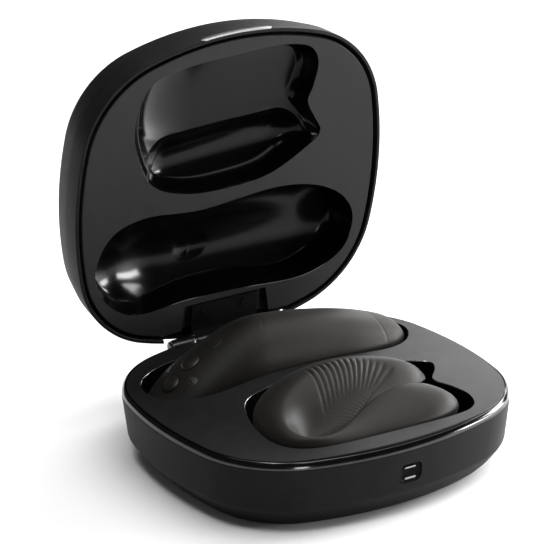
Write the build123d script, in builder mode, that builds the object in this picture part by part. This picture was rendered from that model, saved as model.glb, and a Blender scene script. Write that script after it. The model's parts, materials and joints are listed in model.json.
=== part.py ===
from build123d import *
import math
import os

# Charging and storage case with a hinged lid, and the two rechargeable hand
# units that it holds: a long slim unit behind and a folded U unit in front.
# Millimetres.  X runs along the hinge, -Y is the front with the charging port,
# +Z is up.  The origin is under the middle of the case, on its rubber pad.
# The lid stands open, OPEN_ANGLE from closed; both units are seated.

# ---- driving dimensions ------------------------------------------------------
HALF_WIDTH = 75.0        # case outline, half size along X
HALF_DEPTH = 71.0        # case outline, half size along Y
SIDE_RADIUS = 160.0      # gentle arc of the left and right walls
FRONT_RADIUS = 137.0     # gentle arc of the front and back walls
CORNER_RADIUS = 45.3     # arc of the four corners

BASE_UNDERSIDE = 0.5     # underside of the base shell, above the pad
RIM_Z = 28.5             # widest line of the base
RING_TOP = 31.6          # top of the polished ring
DECK_BOTTOM = 30.0       # underside of the deck plate
DECK_EDGE = 32.0         # deck height where it meets the ring
DECK_CROWN = 3.2         # how far the deck rises towards its middle
WALL = 2.4               # wall of both shells

HINGE_Y = 69.05          # hinge axis
HINGE_Z = 29.6
OPEN_ANGLE = 83.2        # lid swing from closed to open
LID_RIM = 32.1           # closed height of the lid's rim
PANEL_EDGE = 32.5        # closed height of the lid panel at its edge
PANEL_BACK = 37.5        # closed height of the lid panel's hidden side
LID_SHOULDER = 55.4      # closed height where the lid turns into its top
LID_TOP = 60.2           # closed height of the middle of the lid

SLIM_Y = 31.0            # centre line of the slim unit

# sphere of the deck's crown: radius from rise over the half span
DECK_SPHERE = (73.0 ** 2 + DECK_CROWN ** 2) / (2 * DECK_CROWN)

# (inset from the outline, height) of the base's and the lid's outer skin
BASE_PROFILE = [(10.6, 0.5), (6.5, 4.2), (1.9, 10.5), (0.0, RIM_Z)]
LID_PROFILE = [
    (0.0, LID_RIM), (1.1, 43.4), (4.3, LID_SHOULDER), (7.5, 56.8),
    (14.0, 57.6), (24.0, 58.6), (36.0, 59.6), (44.0, LID_TOP),
]

# mouths of the wells, anticlockwise seen from above
SLIM_MOUTH = [
    (-63.4, 29.0), (-58.0, 15.5), (-42.0, 9.0), (-12.0, 12.6), (15.0, 12.0),
    (42.0, 9.0), (57.0, 16.0), (64.3, 30.0), (58.0, 45.0), (42.0, 51.5),
    (0.0, 50.0), (-38.0, 51.2), (-57.0, 43.0),
]
U_MOUTH = [
    (-46.8, -39.0), (-42.0, -51.0), (-28.0, -57.5), (0.0, -60.0), (28.0, -59.8),
    (40.0, -56.0), (44.5, -47.0), (43.0, -37.5), (39.8, -28.0), (46.5, -19.5),
    (49.3, -13.0), (44.0, -8.0), (24.0, -2.0), (2.0, 3.0), (-20.0, 1.5),
    (-36.0, -5.0), (-44.0, -20.5),
]
SLIM_LID_MOUTH = [
    (-64.7, 26.0), (-57.0, 11.5), (-40.0, 6.6), (-12.0, 9.0), (24.0, 6.0),
    (45.0, 9.0), (58.6, 17.2), (63.2, 28.8), (57.6, 42.6), (38.0, 51.0),
    (5.0, 50.0), (-18.0, 49.6), (-45.0, 50.4), (-59.5, 41.0),
]
U_LID_MOUTH = [
    (-47.0, -36.0), (-40.5, -53.5), (-24.0, -58.7), (0.0, -60.3), (22.0, -61.0),
    (36.0, -58.0), (41.0, -50.0), (40.0, -41.0), (37.5, -32.0), (41.0, -24.5),
    (44.6, -17.0), (39.0, -11.2), (20.8, -1.4), (0.0, 1.2), (-20.0, -0.2),
    (-36.5, -7.0), (-44.0, -20.5),
]

# slim unit: x, top, bottom, half width of each cross-section
SLIM_SECTIONS = [
    (-60.0, 25.5, 22.5, 6.0), (-54.0, 30.0, 19.5, 12.5), (-44.0, 38.0, 17.0, 16.5),
    (-30.0, 46.0, 16.0, 17.5), (-17.0, 51.5, 15.5, 17.5), (-5.0, 52.5, 15.5, 17.0),
    (15.0, 50.0, 16.0, 17.0), (35.0, 45.7, 16.5, 17.0), (50.0, 40.9, 19.5, 15.0),
    (58.0, 37.0, 23.5, 10.5), (63.0, 31.5, 27.5, 4.0),
]
# U unit: x, y, half width, top, bottom of each cross-section along its bend
U_SECTIONS = [
    (39.0, -20.5, 4.0, 35.5, 30.5), (34.0, -19.0, 9.0, 39.0, 23.5),
    (23.0, -16.5, 13.0, 43.0, 20.0), (7.0, -14.0, 14.0, 45.8, 19.5),
    (-12.0, -14.8, 14.0, 46.3, 19.5), (-26.0, -20.5, 12.5, 43.0, 19.5),
    (-34.0, -30.5, 10.5, 39.0, 20.0), (-34.5, -42.0, 9.0, 36.5, 21.0),
    (-27.0, -48.8, 7.2, 35.0, 21.5), (-13.0, -51.2, 6.8, 34.5, 21.5),
    (0.0, -50.2, 7.8, 36.5, 20.5), (12.0, -47.2, 10.2, 40.5, 19.5),
    (24.0, -45.5, 12.0, 42.5, 19.5), (33.0, -45.5, 9.5, 40.0, 22.5),
    (37.5, -46.0, 3.5, 33.5, 28.5),
]

os.makedirs("parts", exist_ok=True)


# ---- helpers -------------------------------------------------------------------
def case_section(plane, inset):
    """The case outline on a plane, moved in by inset: eight tangent arcs."""
    side = Vector(HALF_WIDTH - SIDE_RADIUS, 0)
    back = Vector(0, HALF_DEPTH - FRONT_RADIUS)
    to_side = SIDE_RADIUS - CORNER_RADIUS
    to_back = FRONT_RADIUS - CORNER_RADIUS
    span = (back - side).length
    along = (span ** 2 + to_side ** 2 - to_back ** 2) / (2 * span)
    away = math.sqrt(to_side ** 2 - along ** 2)
    unit = (back - side) / span
    corner = side + unit * along + Vector(-unit.Y, unit.X) * -away
    if corner.X < 0 or corner.Y < 0:
        corner = side + unit * along + Vector(-unit.Y, unit.X) * away
    first = math.degrees(math.atan2(corner.Y, corner.X - side.X))
    second = math.degrees(math.atan2(corner.Y - back.Y, corner.X))
    long_side = SIDE_RADIUS - inset
    long_front = FRONT_RADIUS - inset
    short = CORNER_RADIUS - inset
    turn = second - first
    with BuildSketch(plane) as section:
        with BuildLine():
            CenterArc((side.X, 0), long_side, -first, 2 * first)
            CenterArc((corner.X, corner.Y), short, first, turn)
            CenterArc((0, back.Y), long_front, second, 180 - 2 * second)
            CenterArc((-corner.X, corner.Y), short, 180 - second, turn)
            CenterArc((-side.X, 0), long_side, 180 - first, 2 * first)
            CenterArc((-corner.X, -corner.Y), short, 180 + first, turn)
            CenterArc((0, -back.Y), long_front, 180 + second, 180 - 2 * second)
            CenterArc((corner.X, -corner.Y), short, 360 - second, turn)
        make_face()
    return section.sketch


def mouth_section(plane, points, grow):
    """A well's mouth on a plane, moved out from its middle by grow."""
    middle = Vector(sum(x for x, y in points), sum(y for x, y in points)) / len(points)
    moved = []
    for x, y in points:
        reach = Vector(x, y) - middle
        moved.append(middle + reach * (1 + grow / reach.length))
    with BuildSketch(plane) as section:
        with BuildLine():
            Spline(*moved, periodic=True)
        make_face()
    return section.sketch


def oval_section(plane, half_width, half_height):
    with BuildSketch(plane) as section:
        Ellipse(half_width, half_height)
    return section.sketch


def level(height):
    return Plane.XY.offset(height)


def lid_plane(height):
    """The plane at a closed height of the lid, swung open about the hinge."""
    swing = math.radians(OPEN_ANGLE)
    above = height - HINGE_Z
    y = HINGE_Y - HINGE_Y * math.cos(swing) + above * math.sin(swing)
    z = HINGE_Z + HINGE_Y * math.sin(swing) + above * math.cos(swing)
    return Plane(origin=(0, y, z), x_dir=(1, 0, 0), z_dir=(0, math.sin(swing), math.cos(swing)))


def save(solid, name):
    solid.label = name
    export_step(solid, f"parts/{name}.step")


# ---- base ------------------------------------------------------------------------
POSTS = [(54.0, -31.0), (-54.0, -31.0), (56.0, 2.0), (-56.0, 2.0)]
PAD_INSET = 26.0         # the rubber pad underneath, in from the outline
STANDOFFS = [(36.0, -26.0), (-36.0, -26.0), (36.0, 34.0), (-36.0, 34.0)]
FLOOR = 2.7              # inside floor of the base shell
BASE_HOLLOW = [(12.6, FLOOR), (9.3, 4.6), (4.3, 10.5), (WALL, RIM_Z + 0.01)]
HINGE_GAP = 62.0         # width of the gap for the hinge along X
PORT_Z = 18.3            # centre of the charging port
PORT_FACE = -69.9        # front wall at the port's height

with BuildPart() as base_shell:
    loft([case_section(level(z), inset) for inset, z in BASE_PROFILE], ruled=True)
    hollow = [case_section(level(z), inset) for inset, z in BASE_HOLLOW]
    loft(hollow, ruled=True, mode=Mode.SUBTRACT)
    # gap in the back wall for the hinge
    with BuildSketch(level(25.6)):
        with Locations((0, 70)):
            Rectangle(HINGE_GAP, 16)
    extrude(amount=4, mode=Mode.SUBTRACT)
    # ledges for the hinge bracket
    for side in (-1, 1):
        with BuildSketch(level(19.0)):
            with Locations((side * 23.5, 61.9)):
                Rectangle(11, 12)
        extrude(amount=6.6)
    with BuildSketch(level(20.0)):
        with Locations((23.5, 60), (-23.5, 60)):
            Circle(1.02)
    extrude(amount=6, mode=Mode.SUBTRACT)
    # post that carries the port board
    with BuildSketch(level(FLOOR)):
        with Locations((0, -64.1)):
            Rectangle(16, 3.6)
    extrude(amount=PORT_Z - 3.5 - FLOOR)
    with BuildSketch(level(FLOOR)):
        with Locations(*STANDOFFS):
            Circle(2.2)
    extrude(amount=6.8)
    # opening for the port bezel
    with BuildSketch(Plane(origin=(0, -74, PORT_Z), x_dir=(1, 0, 0), z_dir=(0, 1, 0))):
        RectangleRounded(10.6, 8.5, 2.6)
    extrude(amount=10, mode=Mode.SUBTRACT)
    # counterbored screw holes and the recess for the pad
    with BuildSketch(level(0)):
        with Locations(*POSTS):
            Circle(1.3)
    extrude(amount=4, mode=Mode.SUBTRACT)
    with BuildSketch(level(0)):
        with Locations(*POSTS):
            Circle(2.6)
    extrude(amount=1.5, mode=Mode.SUBTRACT)
    extrude(case_section(level(0), PAD_INSET - 0.2), amount=0.9, mode=Mode.SUBTRACT)
save(base_shell.part, "base_shell")

with BuildPart() as trim_ring:
    ring = [(0.0, RIM_Z), (0.5, 30.1), (1.2, RING_TOP)]
    loft([case_section(level(z), inset) for inset, z in ring], ruled=True)
    extrude(case_section(level(DECK_BOTTOM), 1.5), amount=4, mode=Mode.SUBTRACT)
    extrude(case_section(level(RIM_Z - 1), 4.6), amount=4, mode=Mode.SUBTRACT)
    with BuildSketch(level(RIM_Z - 1)):
        with Locations((0, 70)):
            Rectangle(HINGE_GAP, 16)
    extrude(amount=6, mode=Mode.SUBTRACT)
save(trim_ring.part, "trim_ring")

with BuildPart() as deck:
    extrude(case_section(level(DECK_BOTTOM), 1.9), amount=8)
    with Locations((0, 0, DECK_EDGE + DECK_CROWN - DECK_SPHERE)):
        Sphere(DECK_SPHERE, rotation=(90, 0, 0), mode=Mode.INTERSECT)
    extrude(mouth_section(level(DECK_BOTTOM - 1), SLIM_MOUTH, 0), amount=9, mode=Mode.SUBTRACT)
    extrude(mouth_section(level(DECK_BOTTOM - 1), U_MOUTH, 0), amount=9, mode=Mode.SUBTRACT)
    with BuildSketch(level(DECK_BOTTOM - 1)):
        with Locations((0, 71.4)):
            Rectangle(HINGE_GAP, 16)
    extrude(amount=9, mode=Mode.SUBTRACT)
    with BuildSketch(level(FLOOR + 0.1)):
        with Locations(*POSTS):
            Circle(3)
    extrude(amount=DECK_BOTTOM - FLOOR)
    with BuildSketch(level(FLOOR)):
        with Locations(*POSTS):
            Circle(1.02)
    extrude(amount=10, mode=Mode.SUBTRACT)
save(deck.part, "deck")


def well(mouth, top, floor, flip=False):
    """Sections of a bowl-shaped well from its mouth down to its floor."""
    place = lid_plane if flip else level
    drop = floor - top
    shape = [(0.0, 0.0), (0.45, -1.0), (0.85, -3.6), (1.0, -7.5)]
    return [mouth_section(place(top + drop * part), mouth, grow) for part, grow in shape]


def well_skin(mouth, top, floor, flip=False):
    """The same bowl, one wall thickness bigger."""
    place = lid_plane if flip else level
    skin = 1.1
    drop = floor - top
    drop += skin if drop > 0 else -skin
    shape = [(0.0, 1.2), (0.45, 0.2), (0.85, -2.4), (1.0, -6.3)]
    return [mouth_section(place(top + drop * part), mouth, grow) for part, grow in shape]


SLIM_PINS = [(-10.0, SLIM_Y), (0.0, SLIM_Y)]
U_PINS = [(-3.0, -14.2), (7.0, -14.2)]
SLIM_FLOOR = 15.1
U_FLOOR = 19.1

with BuildPart() as slim_cradle:
    loft(well_skin(SLIM_MOUTH, DECK_BOTTOM, SLIM_FLOOR))
    loft(well(SLIM_MOUTH, DECK_BOTTOM, SLIM_FLOOR), mode=Mode.SUBTRACT)
    with BuildSketch(level(SLIM_FLOOR - 3)):
        with Locations(*SLIM_PINS):
            Circle(0.9)
    extrude(amount=6, mode=Mode.SUBTRACT)
save(slim_cradle.part, "slim_cradle")

with BuildPart() as u_cradle:
    loft(well_skin(U_MOUTH, DECK_BOTTOM, U_FLOOR))
    loft(well(U_MOUTH, DECK_BOTTOM, U_FLOOR), mode=Mode.SUBTRACT)
    with BuildSketch(level(U_FLOOR - 3)):
        with Locations(*U_PINS):
            Circle(0.9)
    extrude(amount=6, mode=Mode.SUBTRACT)
save(u_cradle.part, "u_cradle")

with BuildPart() as rubber_pad:
    extrude(case_section(level(0), PAD_INSET), amount=0.9)
save(rubber_pad.part, "rubber_pad")

with BuildPart() as case_screws:
    with BuildSketch(level(0.7)):
        with Locations(*POSTS):
            Circle(2.4)
    extrude(amount=0.8)
    with BuildSketch(level(1.5)):
        with Locations(*POSTS):
            Circle(1.0)
    extrude(amount=10)
save(case_screws.part, "case_screws")

# ---- charging port -----------------------------------------------------------
port_plane = Plane(origin=(0, PORT_FACE, PORT_Z), x_dir=(1, 0, 0), z_dir=(0, 1, 0))
BAR_LENGTH = 5.2         # the two contact bars
BAR_HEIGHT = 0.8
BAR_SPACING = 4.6        # between the bars' centre lines
BARS = [(0, BAR_SPACING / 2), (0, -BAR_SPACING / 2)]
BEZEL_FACE = 0.6         # how far the bezel's face lies behind the wall
BEZEL_DEPTH = 1.7

with BuildPart() as port_bezel:
    with BuildSketch(port_plane.offset(BEZEL_FACE)):
        RectangleRounded(10.6, 8.5, 2.6)
    extrude(amount=BEZEL_DEPTH)
    fillet(port_bezel.faces().sort_by(Axis.Y)[0].edges(), 0.3)
    with BuildSketch(port_plane):
        with Locations(*BARS):
            SlotOverall(BAR_LENGTH + 0.1, BAR_HEIGHT + 0.1)
    extrude(amount=4, mode=Mode.SUBTRACT)
save(port_bezel.part, "port_bezel")

with BuildPart() as port_contacts:
    with BuildSketch(port_plane.offset(0.3)):
        with Locations(*BARS):
            SlotOverall(BAR_LENGTH, BAR_HEIGHT)
    extrude(amount=3.4)
save(port_contacts.part, "port_contacts")

with BuildPart() as port_magnet:
    with BuildSketch(port_plane.offset(BEZEL_FACE + BEZEL_DEPTH)):
        Rectangle(8.0, 3.0)
    extrude(amount=1.4)
save(port_magnet.part, "port_magnet")

with BuildPart() as port_board:
    with BuildSketch(port_plane.offset(3.7)):
        with Locations((0, -0.35)):
            Rectangle(14, 7.6)
    extrude(amount=1.2)
save(port_board.part, "port_board")

# ---- electronics and magnets in the base ------------------------------------------
BOARD_Z = 9.5            # underside of the main board
BOARD_TOP = 11.1

with BuildPart() as case_battery:
    with BuildSketch(level(3.0)):
        with Locations((0, 4)):
            RectangleRounded(60, 46, 2)
    extrude(amount=5.5)
save(case_battery.part, "case_battery")

with BuildPart() as main_board:
    with BuildSketch(level(BOARD_Z)):
        with Locations((0, 4)):
            RectangleRounded(80, 68, 3)
    extrude(amount=BOARD_TOP - BOARD_Z)
    # charging and radio chips
    with BuildSketch(level(BOARD_TOP)):
        with Locations((-24, 12), (24, 12)):
            Rectangle(7, 7)
    extrude(amount=1.0)
save(main_board.part, "main_board")

for name, spots, floor in (("slim_pins", SLIM_PINS, SLIM_FLOOR), ("u_pins", U_PINS, U_FLOOR)):
    with BuildPart() as pins:
        with BuildSketch(level(BOARD_TOP)):
            with Locations(*spots):
                Circle(1.5)
        extrude(amount=1.2)
        with BuildSketch(level(BOARD_TOP)):
            with Locations(*spots):
                Circle(0.65)
        extrude(amount=floor + 0.15 - BOARD_TOP)
    save(pins.part, name)

MAGNETS = [(54.5, -42.0), (-54.5, -42.0)]
with BuildPart() as base_magnets:
    with BuildSketch(level(DECK_BOTTOM - 3.1)):
        with Locations(*MAGNETS):
            Circle(3)
    extrude(amount=3.1)
save(base_magnets.part, "base_magnets")

# ---- hinge --------------------------------------------------------------------------
KNUCKLE = 3.3            # radius of the hinge barrel
PIN = 1.2                # radius of the hinge pin
PIN_HOLE = 1.25
EAR_IN = 17.0            # inner end of the outer knuckles along X
EAR_OUT = 29.0
axis_plane = Plane(origin=(0, HINGE_Y, HINGE_Z), x_dir=(0, 1, 0), z_dir=(1, 0, 0))

with BuildPart() as hinge_bracket:
    with BuildSketch(level(25.6)):
        with Locations((0, 59.5)):
            Rectangle(2 * EAR_OUT, 10)
    extrude(amount=1.8)
    for start in (EAR_IN, -EAR_OUT):
        with BuildSketch(axis_plane.offset(start)):
            Circle(KNUCKLE)
        extrude(amount=EAR_OUT - EAR_IN)
        with BuildSketch(level(26.0)):
            with Locations((start + (EAR_OUT - EAR_IN) / 2, 66.0)):
                Rectangle(EAR_OUT - EAR_IN, 6)
        extrude(amount=1.4)
    with BuildSketch(axis_plane.offset(-EAR_OUT)):
        Circle(PIN_HOLE)
    extrude(amount=2 * EAR_OUT, mode=Mode.SUBTRACT)
    with BuildSketch(level(25)):
        with Locations((23.5, 60), (-23.5, 60)):
            Circle(1.2)
    extrude(amount=4, mode=Mode.SUBTRACT)
save(hinge_bracket.part, "hinge_bracket")

with BuildPart() as hinge_pin:
    with BuildSketch(axis_plane.offset(-EAR_OUT + 0.2)):
        Circle(PIN)
    extrude(amount=2 * EAR_OUT - 0.4)
    chamfer(hinge_pin.edges(), 0.25)
save(hinge_pin.part, "hinge_pin")

with BuildPart() as bracket_screws:
    with BuildSketch(level(27.4)):
        with Locations((23.5, 60), (-23.5, 60)):
            Circle(2.0)
    extrude(amount=1.0)
    with BuildSketch(level(21)):
        with Locations((23.5, 60), (-23.5, 60)):
            Circle(1.0)
    extrude(amount=6.4)
save(bracket_screws.part, "bracket_screws")

LEAF_LOW = 34.0          # closed height of the leaf's face
LEAF_HIGH = 35.3
LEAF_WIDTH = 33.0
LEAF_SCREW_HEAD = 0.3    # height of the leaf screws' flat heads
with BuildPart() as hinge_leaf:
    with BuildSketch(lid_plane(LEAF_LOW)):
        with Locations((0, 60.3)):
            Rectangle(LEAF_WIDTH, 13.6)
    extrude(amount=LEAF_HIGH - LEAF_LOW)
    with BuildSketch(lid_plane(HINGE_Z)):
        with Locations((0, HINGE_Y - 1.2)):
            Rectangle(LEAF_WIDTH, 4.2)
    extrude(amount=LEAF_HIGH - HINGE_Z)
    with BuildSketch(axis_plane.offset(-LEAF_WIDTH / 2)):
        Circle(KNUCKLE)
    extrude(amount=LEAF_WIDTH)
    with BuildSketch(axis_plane.offset(-LEAF_WIDTH / 2)):
        Circle(PIN_HOLE)
    extrude(amount=LEAF_WIDTH, mode=Mode.SUBTRACT)
    with BuildSketch(lid_plane(LEAF_LOW)):
        with Locations((10, 57), (-10, 57)):
            Circle(1.2)
    extrude(amount=3, mode=Mode.SUBTRACT)
save(hinge_leaf.part, "hinge_leaf")

with BuildPart() as leaf_screws:
    with BuildSketch(lid_plane(LEAF_LOW - LEAF_SCREW_HEAD)):
        with Locations((10, 57), (-10, 57)):
            Circle(2.0)
    extrude(amount=LEAF_SCREW_HEAD)
    with BuildSketch(lid_plane(LEAF_LOW)):
        with Locations((10, 57), (-10, 57)):
            Circle(1.0)
    extrude(amount=3.2)
save(leaf_screws.part, "leaf_screws")

# ---- lid ----------------------------------------------------------------------------
NOTCH = 34.4             # width of the thumb notch in the lid's front edge

FLANGE = 1.2             # thickness of the lid panel's flange
RIM_WALL = 1.6           # wall at the lid's rim
LID_HOLLOW = [
    (RIM_WALL, LID_RIM - 0.01), (3.5, 43.4), (6.7, 53.8), (9.9, 54.8),
    (16.4, 55.6), (26.4, 56.6), (38.4, 57.6), (44.5, LID_TOP - 2.0),
]


def rim_strip(outer, inner, width, low, high):
    """A strip of the lid's front rim between two insets of the outline."""
    with BuildPart() as strip:
        extrude(case_section(lid_plane(low), outer), amount=high - low)
        extrude(case_section(lid_plane(low), inner), amount=high - low, mode=Mode.SUBTRACT)
        with BuildSketch(lid_plane(low)):
            with Locations((0, -HALF_DEPTH)):
                Rectangle(width, 12)
        extrude(amount=high - low, mode=Mode.INTERSECT)
    return strip.part


thumb_room = rim_strip(-1.0, 1.3, NOTCH, LID_RIM - 1, LID_RIM + 2.2)
thumb_strip = rim_strip(0.35, 1.2, NOTCH - 0.2, LID_RIM + 0.3, LID_RIM + 2.1)

with BuildPart() as lid_shell:
    loft([case_section(lid_plane(z), inset) for inset, z in LID_PROFILE], ruled=True)
    hollow = [case_section(lid_plane(z), inset) for inset, z in LID_HOLLOW]
    loft(hollow, ruled=True, mode=Mode.SUBTRACT)
    with BuildSketch(lid_plane(LID_RIM - 1)):
        with Locations((0, 70)):
            Rectangle(HINGE_GAP, 16)
    extrude(amount=5, mode=Mode.SUBTRACT)
    add(thumb_room, mode=Mode.SUBTRACT)
save(lid_shell.part, "lid_shell")

with BuildPart() as thumb_plate:
    add(thumb_strip)
save(thumb_plate.part, "thumb_plate")

with BuildPart() as lid_panel:
    extrude(case_section(lid_plane(LID_RIM), 3.4), amount=PANEL_BACK - LID_RIM)
    # flange that snaps into the shell
    extrude(case_section(lid_plane(PANEL_BACK - FLANGE), 2.55), amount=FLANGE)
    with Locations(lid_plane(PANEL_EDGE + DECK_CROWN - DECK_SPHERE)):
        Sphere(DECK_SPHERE, rotation=(90, 0, 0), mode=Mode.SUBTRACT)
    depth = PANEL_BACK - LID_RIM + 2
    extrude(mouth_section(lid_plane(LID_RIM - 1), SLIM_LID_MOUTH, 0), amount=depth, mode=Mode.SUBTRACT)
    extrude(mouth_section(lid_plane(LID_RIM - 1), U_LID_MOUTH, 0), amount=depth, mode=Mode.SUBTRACT)
    # room for the hinge barrel, and the tapered recess of the leaf
    with BuildSketch(lid_plane(LID_RIM - 1)):
        with Locations((0, 71.7)):
            Rectangle(HINGE_GAP, 16)
    extrude(amount=depth, mode=Mode.SUBTRACT)
    with BuildSketch(lid_plane(LID_RIM - 1)):
        with BuildLine():
            Polyline((-22, 64), (-20.4, 52.6), (20.4, 52.6), (22, 64), close=True)
        make_face()
    extrude(amount=LEAF_HIGH - LID_RIM + 1, mode=Mode.SUBTRACT)
    with BuildSketch(lid_plane(LEAF_HIGH)):
        with Locations((10, 57), (-10, 57)):
            Circle(1.02)
    extrude(amount=PANEL_BACK - LEAF_HIGH + 1, mode=Mode.SUBTRACT)
save(lid_panel.part, "lid_panel")

SLIM_CEILING = 53.2
U_CEILING = 50.5

with BuildPart() as lid_slim_well:
    loft(well_skin(SLIM_LID_MOUTH, PANEL_BACK, SLIM_CEILING, flip=True))
    loft(well(SLIM_LID_MOUTH, PANEL_BACK, SLIM_CEILING, flip=True), mode=Mode.SUBTRACT)
save(lid_slim_well.part, "lid_slim_well")

with BuildPart() as lid_u_well:
    loft(well_skin(U_LID_MOUTH, PANEL_BACK, U_CEILING, flip=True))
    loft(well(U_LID_MOUTH, PANEL_BACK, U_CEILING, flip=True), mode=Mode.SUBTRACT)
save(lid_u_well.part, "lid_u_well")

with BuildPart() as lid_magnets:
    with BuildSketch(lid_plane(PANEL_BACK)):
        with Locations(*MAGNETS):
            Circle(3)
    extrude(amount=3.0)
save(lid_magnets.part, "lid_magnets")

# ---- slim unit -------------------------------------------------------------------------
CORE_Z = 28.5            # middle height of the slim unit's core
CORE_START = -24.0       # left end of the core's room
CORE_END = 46.0
SEAM_X = 47.0            # seam of the tip cap

slim_ovals = [
    oval_section(Plane(origin=(x, SLIM_Y, (top + bottom) / 2), x_dir=(0, 1, 0), z_dir=(1, 0, 0)),
                 half, (top - bottom) / 2)
    for x, top, bottom, half in SLIM_SECTIONS
]
with BuildPart() as slim_form:
    loft(slim_ovals)

# the control end is divided from the body along a slanted seam
seam = Plane(origin=(-20, SLIM_Y, 44), x_dir=(0, 1, 0), z_dir=(1, 0, -1))
tip_seam = Plane(origin=(SEAM_X, SLIM_Y, CORE_Z), x_dir=(0, 1, 0), z_dir=(1, 0, 0))

# name, x, sideways offset, height, press direction, radius, how proud it stands
SLIM_BUTTONS = [
    ("slim_power_button", -30.0, 0.0, 46.0, (-0.43, 0, 0.90), 3.4, 0.3),
    ("slim_plus_button", -41.3, 0.0, 39.9, (-0.53, 0, 0.85), 4.2, 1.1),
    ("slim_minus_button", -51.1, 0.0, 32.4, (-0.64, 0, 0.77), 4.2, 1.1),
    ("slim_left_button", -45.6, 8.3, 35.3, (-0.56, 0.30, 0.78), 2.5, 0.3),
    ("slim_right_button", -45.6, -8.3, 35.3, (-0.56, -0.30, 0.78), 2.5, 0.3),
]


def button_plane(x, aside, z, direction):
    return Plane(origin=(x, SLIM_Y + aside, z), x_dir=(0, 1, 0), z_dir=direction)


with BuildPart() as slim_control_end:
    add(slim_form.part)
    split(bisect_by=seam, keep=Keep.BOTTOM)
    for name, x, aside, z, direction, radius, proud in SLIM_BUTTONS:
        with BuildSketch(button_plane(x, aside, z, direction).offset(-3.2)):
            Circle(radius + 0.2)
        extrude(amount=8, mode=Mode.SUBTRACT)
save(slim_control_end.part, "slim_control_end")

with BuildPart() as slim_body:
    add(slim_form.part)
    split(bisect_by=seam, keep=Keep.TOP)
    split(bisect_by=tip_seam, keep=Keep.BOTTOM)
    with BuildSketch(Plane(origin=(CORE_START, SLIM_Y, CORE_Z), x_dir=(0, 1, 0), z_dir=(1, 0, 0))):
        Rectangle(21.4, 18.4)
    extrude(amount=CORE_END - CORE_START, mode=Mode.SUBTRACT)
    with BuildSketch(level(12)):
        with Locations(*SLIM_PINS):
            Circle(1.6)
    extrude(amount=4.2, mode=Mode.SUBTRACT)
save(slim_body.part, "slim_body")

with BuildPart() as slim_tip_cap:
    add(slim_form.part)
    split(bisect_by=tip_seam, keep=Keep.TOP)
save(slim_tip_cap.part, "slim_tip_cap")

with BuildPart() as slim_chassis:
    with BuildSketch(Plane(origin=(CORE_START + 0.2, SLIM_Y, CORE_Z), x_dir=(0, 1, 0), z_dir=(1, 0, 0))):
        Rectangle(21.0, 18.0)
    extrude(amount=CORE_END - CORE_START - 0.4)
    with BuildSketch(level(CORE_Z - 7.8)):
        with Locations(((CORE_START + CORE_END) / 2, SLIM_Y)):
            Rectangle(CORE_END - CORE_START - 3.0, 18.6)
    extrude(amount=20, mode=Mode.SUBTRACT)
save(slim_chassis.part, "slim_chassis")

with BuildPart() as slim_battery:
    with BuildSketch(Plane(origin=(-21, SLIM_Y, CORE_Z - 1.2), x_dir=(0, 1, 0), z_dir=(1, 0, 0))):
        Circle(6.4)
    extrude(amount=34)
    chamfer(slim_battery.edges(), 0.4)
save(slim_battery.part, "slim_battery")

with BuildPart() as slim_board:
    with BuildSketch(level(CORE_Z + 5.4)):
        with Locations((-1, SLIM_Y)):
            Rectangle(40, 17)
    extrude(amount=1.2)
save(slim_board.part, "slim_board")

SHAFT = 1.0
motor_plane = Plane(origin=(22, SLIM_Y, CORE_Z - 1.6), x_dir=(0, 1, 0), z_dir=(1, 0, 0))
with BuildPart() as slim_motor:
    with BuildSketch(motor_plane):
        Circle(6.0)
    extrude(amount=13)
    with BuildSketch(motor_plane.offset(9)):
        Circle(SHAFT + 0.05)
    extrude(amount=5, mode=Mode.SUBTRACT)
save(slim_motor.part, "slim_motor")

with BuildPart() as slim_motor_weight:
    with BuildSketch(motor_plane.offset(9.5)):
        Circle(SHAFT)
    extrude(amount=11.5)
    with BuildSketch(motor_plane.offset(15)):
        with BuildLine():
            CenterArc((0, 0), 5.4, 180, 180)
            Line((5.4, 0), (-5.4, 0))
        make_face()
        Circle(2.2)
    extrude(amount=5)
save(slim_motor_weight.part, "slim_motor_weight")

for name, x, aside, z, direction, radius, proud in SLIM_BUTTONS:
    place = button_plane(x, aside, z, direction)
    with BuildPart() as button:
        with BuildSketch(place.offset(-2.3)):
            Circle(radius)
        extrude(amount=2.3 + proud)
        crown = button.faces().sort_by(Axis(origin=(0, 0, 0), direction=direction))[-1]
        fillet(crown.edges(), min(proud, 1.0) * 0.9)
    save(button.part, name)

with BuildPart() as slim_contacts:
    with BuildSketch(level(15.55)):
        with Locations(*SLIM_PINS):
            Circle(1.4)
    extrude(amount=0.6)
save(slim_contacts.part, "slim_contacts")

# ---- U unit ----------------------------------------------------------------------------
def u_oval(index):
    x, y, half, top, bottom = U_SECTIONS[index]
    before = U_SECTIONS[max(index - 1, 0)]
    after = U_SECTIONS[min(index + 1, len(U_SECTIONS) - 1)]
    along = Vector(after[0] - before[0], after[1] - before[1], 0)
    plane = Plane(origin=(x, y, (top + bottom) / 2), x_dir=(-along.Y, along.X, 0), z_dir=along)
    return oval_section(plane, half, (top - bottom) / 2)


def spine_outline(plane, thickness):
    """The spring strip that follows the unit's bend."""
    with BuildSketch(plane) as outline:
        with BuildLine() as bend:
            ThreePointArc((-15, -16.5), (-33.6, -34), (-14, -52))
        SlotArc(bend.edge(), thickness)
    return outline.sketch


U_BATTERY = Plane(origin=(-14, -14.6, 32.0), x_dir=(0, 1, 0), z_dir=(1, 0, 0))
U_MOTOR = Plane(origin=(9, -46.8, 30.5), x_dir=(0, 1, 0), z_dir=(1, 0, 0))

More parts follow.
